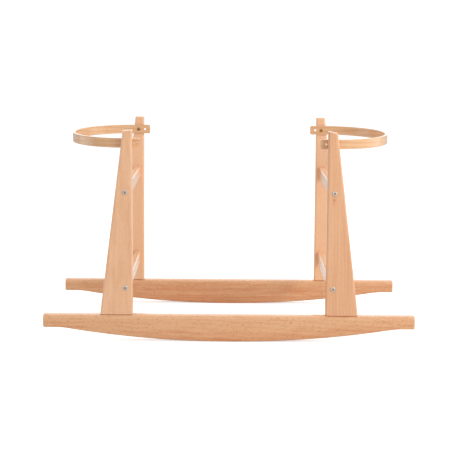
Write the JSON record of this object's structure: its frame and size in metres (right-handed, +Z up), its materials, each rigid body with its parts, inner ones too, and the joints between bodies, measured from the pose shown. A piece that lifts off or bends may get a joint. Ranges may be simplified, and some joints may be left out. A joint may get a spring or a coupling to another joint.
{
  "type": "bassinet stand",
  "caption": "Wooden rocking stand for a Moses basket: curved rockers, tapered uprights, cross rails and bentwood hoops that fold.",
  "frame": {"origin": "centre of the footprint, on the floor at the lowest point of the rockers", "axes": "+X along the rockers to the right, +Y from the front rocker to the rear rocker, +Z up"},
  "size_m": [0.9, 0.428, 0.5129],
  "materials": {
    "rocker_beech": "satin lacquer",
    "upright_beech": "satin lacquer",
    "rail_beech": "satin lacquer",
    "hoop_beech": "satin lacquer",
    "dowel_beech": "satin lacquer",
    "zinc_steel": "zinc plated",
    "bronze_brass": "dark bronzed",
    "white_nylon": "matte"
  },
  "bodies": {
    "stand": {"front_rocker": "rocker_beech", "rear_rocker": "rocker_beech", "front_left_upright": "upright_beech", "front_right_upright": "upright_beech", "rear_left_upright": "upright_beech", "rear_right_upright": "upright_beech", "left_upper_rail": "rail_beech", "left_lower_rail": "rail_beech", "right_upper_rail": "rail_beech", "right_lower_rail": "rail_beech", "front_left_upper_rail_bolt": "zinc_steel", "front_left_lower_rail_bolt": "zinc_steel", "front_right_upper_rail_bolt": "zinc_steel", "front_right_lower_rail_bolt": "zinc_steel", "rear_left_upper_rail_bolt": "zinc_steel", "rear_left_lower_rail_bolt": "zinc_steel", "rear_right_upper_rail_bolt": "zinc_steel", "rear_right_lower_rail_bolt": "zinc_steel", "front_left_upper_barrel_nut": "zinc_steel", "front_left_lower_barrel_nut": "zinc_steel", "front_right_upper_barrel_nut": "zinc_steel", "front_right_lower_barrel_nut": "zinc_steel", "rear_left_upper_barrel_nut": "zinc_steel", "rear_left_lower_barrel_nut": "zinc_steel", "rear_right_upper_barrel_nut": "zinc_steel", "rear_right_lower_barrel_nut": "zinc_steel", "left_upper_rail_dowels": "dowel_beech", "left_lower_rail_dowels": "dowel_beech", "right_upper_rail_dowels": "dowel_beech", "right_lower_rail_dowels": "dowel_beech", "front_left_foot_dowels": "dowel_beech", "front_right_foot_dowels": "dowel_beech", "rear_left_foot_dowels": "dowel_beech", "rear_right_foot_dowels": "dowel_beech", "front_left_hoop_screw": "bronze_brass", "front_right_hoop_screw": "bronze_brass", "rear_left_hoop_screw": "bronze_brass", "rear_right_hoop_screw": "bronze_brass", "front_left_hoop_washer": "white_nylon", "front_right_hoop_washer": "white_nylon", "rear_left_hoop_washer": "white_nylon", "rear_right_hoop_washer": "white_nylon", "front_left_hoop_insert": "bronze_brass", "front_right_hoop_insert": "bronze_brass", "rear_left_hoop_insert": "bronze_brass", "rear_right_hoop_insert": "bronze_brass"},
    "left_hoop_body": {"left_hoop": "hoop_beech"},
    "right_hoop_body": {"right_hoop": "hoop_beech"}
  },
  "joints": [
    {"name": "left_hoop_fold", "type": "hinge", "parent": "stand", "child": "left_hoop_body", "pos_m": [-0.246, 0, 0.48], "axis": [0, 1, 0], "range_deg": [-75, 258]},
    {"name": "right_hoop_fold", "type": "hinge", "parent": "stand", "child": "right_hoop_body", "pos_m": [0.246, 0, 0.48], "axis": [0, -1, 0], "range_deg": [-75, 258]}
  ]
}
